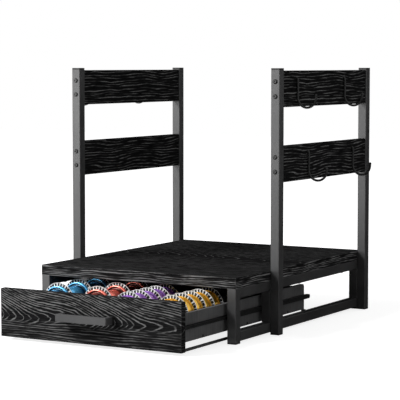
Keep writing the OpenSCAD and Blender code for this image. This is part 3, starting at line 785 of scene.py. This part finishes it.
studio = {
    "floorSize": 14.0,
    "floorDrop": 0.0002,  # metres below the feet
    "floorColour": (0.6, 0.6, 0.6),
    "floorRoughness": 0.9,
    "floorGlow": (0.82, 1.0),  # how white the floor looks by itself, near the object and far away
    "glowReach": (0.5, 1.6),  # metres from the object
    "ambient": 0.15,  # world strength for diffuse light
    "lampAim": (0, 0, 0.15),
    "lamps": {
        # degrees to the right of the front and upwards, metres, watts; the card is seen in gloss only
        "keySoftbox": dict(azimuth=-38, elevation=33, distance=2.3, size=(1.0, 0.5), power=66),
        "topSoftbox": dict(azimuth=-20, elevation=70, distance=2.6, size=(1.6, 1.6), power=3),
        "sideSoftbox": dict(azimuth=80, elevation=12, distance=2.8, size=(1.6, 1.6), power=8),
        "backSoftbox": dict(azimuth=168, elevation=22, distance=3.0, size=(1.6, 1.2), power=14),
        "frontCard": dict(azimuth=-32, elevation=5, distance=2.3, size=(1.1, 0.9), power=26,
                          glossOnly=True),
    },
    "flags": {
        # black panels behind and under the object, seen only in reflections: place, facing, size
        "rightFlag": dict(place=(0.95, 1.15, 0), facing=(0.64, -0.77, 0), size=(2.6, 2.4)),
        "backFlag": dict(place=(-0.65, 1.35, 0), facing=(-0.43, -0.9, 0), size=(2.2, 2.4)),
        "underFlag": dict(place=(0.65, 0.875, 0.0005), facing=(0, 0, 1), size=(1.9, 2.05)),
        "asideFlag": dict(place=(0.855, -0.625, 0.0005), facing=(0, 0, 1), size=(1.29, 0.95)),
    },
}


def backgroundRay(tree):
    path = addNode(tree, "ShaderNodeLightPath")
    seen = calc(tree, "MAXIMUM", path.outputs["Is Camera Ray"], path.outputs["Is Glossy Ray"])
    return calc(tree, "MAXIMUM", seen, path.outputs["Is Transmission Ray"])


def makeWorld():
    world = bpy.data.worlds.new("studio")
    scene.world = world
    world.use_nodes = True
    tree = world.node_tree
    tree.nodes.clear()
    strength = calc(tree, "MAXIMUM", backgroundRay(tree), studio["ambient"])
    sky = addNode(tree, "ShaderNodeBackground", Color=(1, 1, 1, 1), Strength=strength)
    addNode(tree, "ShaderNodeOutputWorld", Surface=sky.outputs[0])


def makePanel(name, size, material):
    wide, high = (side / 2 for side in size)
    corners = [(-wide, -high, 0), (wide, -high, 0), (wide, high, 0), (-wide, high, 0)]
    mesh = bpy.data.meshes.new(name)
    mesh.from_pydata(corners, [], [(0, 1, 2, 3)])
    mesh.materials.append(material)
    panel = bpy.data.objects.new(name, mesh)
    scene.collection.objects.link(panel)
    return panel


def makeFloor():
    settings = {"Roughness": studio["floorRoughness"], "Specular IOR Level": 0.0}
    material, tree, shader = newMaterial("paleFloor", settings)
    put(tree, shader.inputs["Base Color"], (*studio["floorColour"], 1))
    put(tree, shader.inputs["Emission Color"], (1, 1, 1, 1))
    place = addNode(tree, "ShaderNodeTexCoord").outputs["Object"]
    away = addNode(tree, "ShaderNodeVectorMath", {"operation": "LENGTH"})
    put(tree, away.inputs[0], place)
    glow = ramp(tree, away.outputs["Value"], *studio["glowReach"], *studio["floorGlow"])
    put(tree, shader.inputs["Emission Strength"], calc(tree, "MULTIPLY", backgroundRay(tree), glow))
    floor = makePanel("floor", (studio["floorSize"], studio["floorSize"]), material)
    floor.location.z = -studio["floorDrop"]


def outward(azimuth, elevation):
    # Unit vector from the object, azimuth 0 towards the front and 90 towards its right
    turn, rise = math.radians(azimuth), math.radians(elevation)
    return Vector((math.sin(turn) * math.cos(rise), -math.cos(turn) * math.cos(rise), math.sin(rise)))


def makeLamp(name, lamp):
    away = outward(lamp["azimuth"], lamp["elevation"])
    data = bpy.data.lights.new(name, "AREA")
    data.shape = "RECTANGLE"
    data.size, data.size_y = lamp["size"]
    data.energy = lamp["power"]
    light = bpy.data.objects.new(name, data)
    light.location = Vector(studio["lampAim"]) + away * lamp["distance"]
    light.rotation_mode = "QUATERNION"
    light.rotation_quaternion = (-away).to_track_quat("-Z", "Y")
    light.visible_diffuse = not lamp.get("glossOnly", False)
    scene.collection.objects.link(light)


def makeFlag(name, flag, material):
    panel = makePanel(name, flag["size"], material)
    panel.location = flag["place"]
    panel.rotation_mode = "QUATERNION"
    panel.rotation_quaternion = Vector(flag["facing"]).to_track_quat("Z", "Y")
    panel.visible_camera = False
    panel.visible_diffuse = False
    panel.visible_shadow = False
    panel.visible_transmission = False


makeWorld()
makeFloor()
flagSettings = {"Base Color": (0, 0, 0, 1), "Roughness": 1.0, "Specular IOR Level": 0.0}
flagBlack = newMaterial("flagBlack", flagSettings)[0]
for name, lamp in studio["lamps"].items():
    makeLamp(name, lamp)
for name, flag in studio["flags"].items():
    makeFlag(name, flag, flagBlack)
scene.view_settings.view_transform = "Standard"
print("studio set")
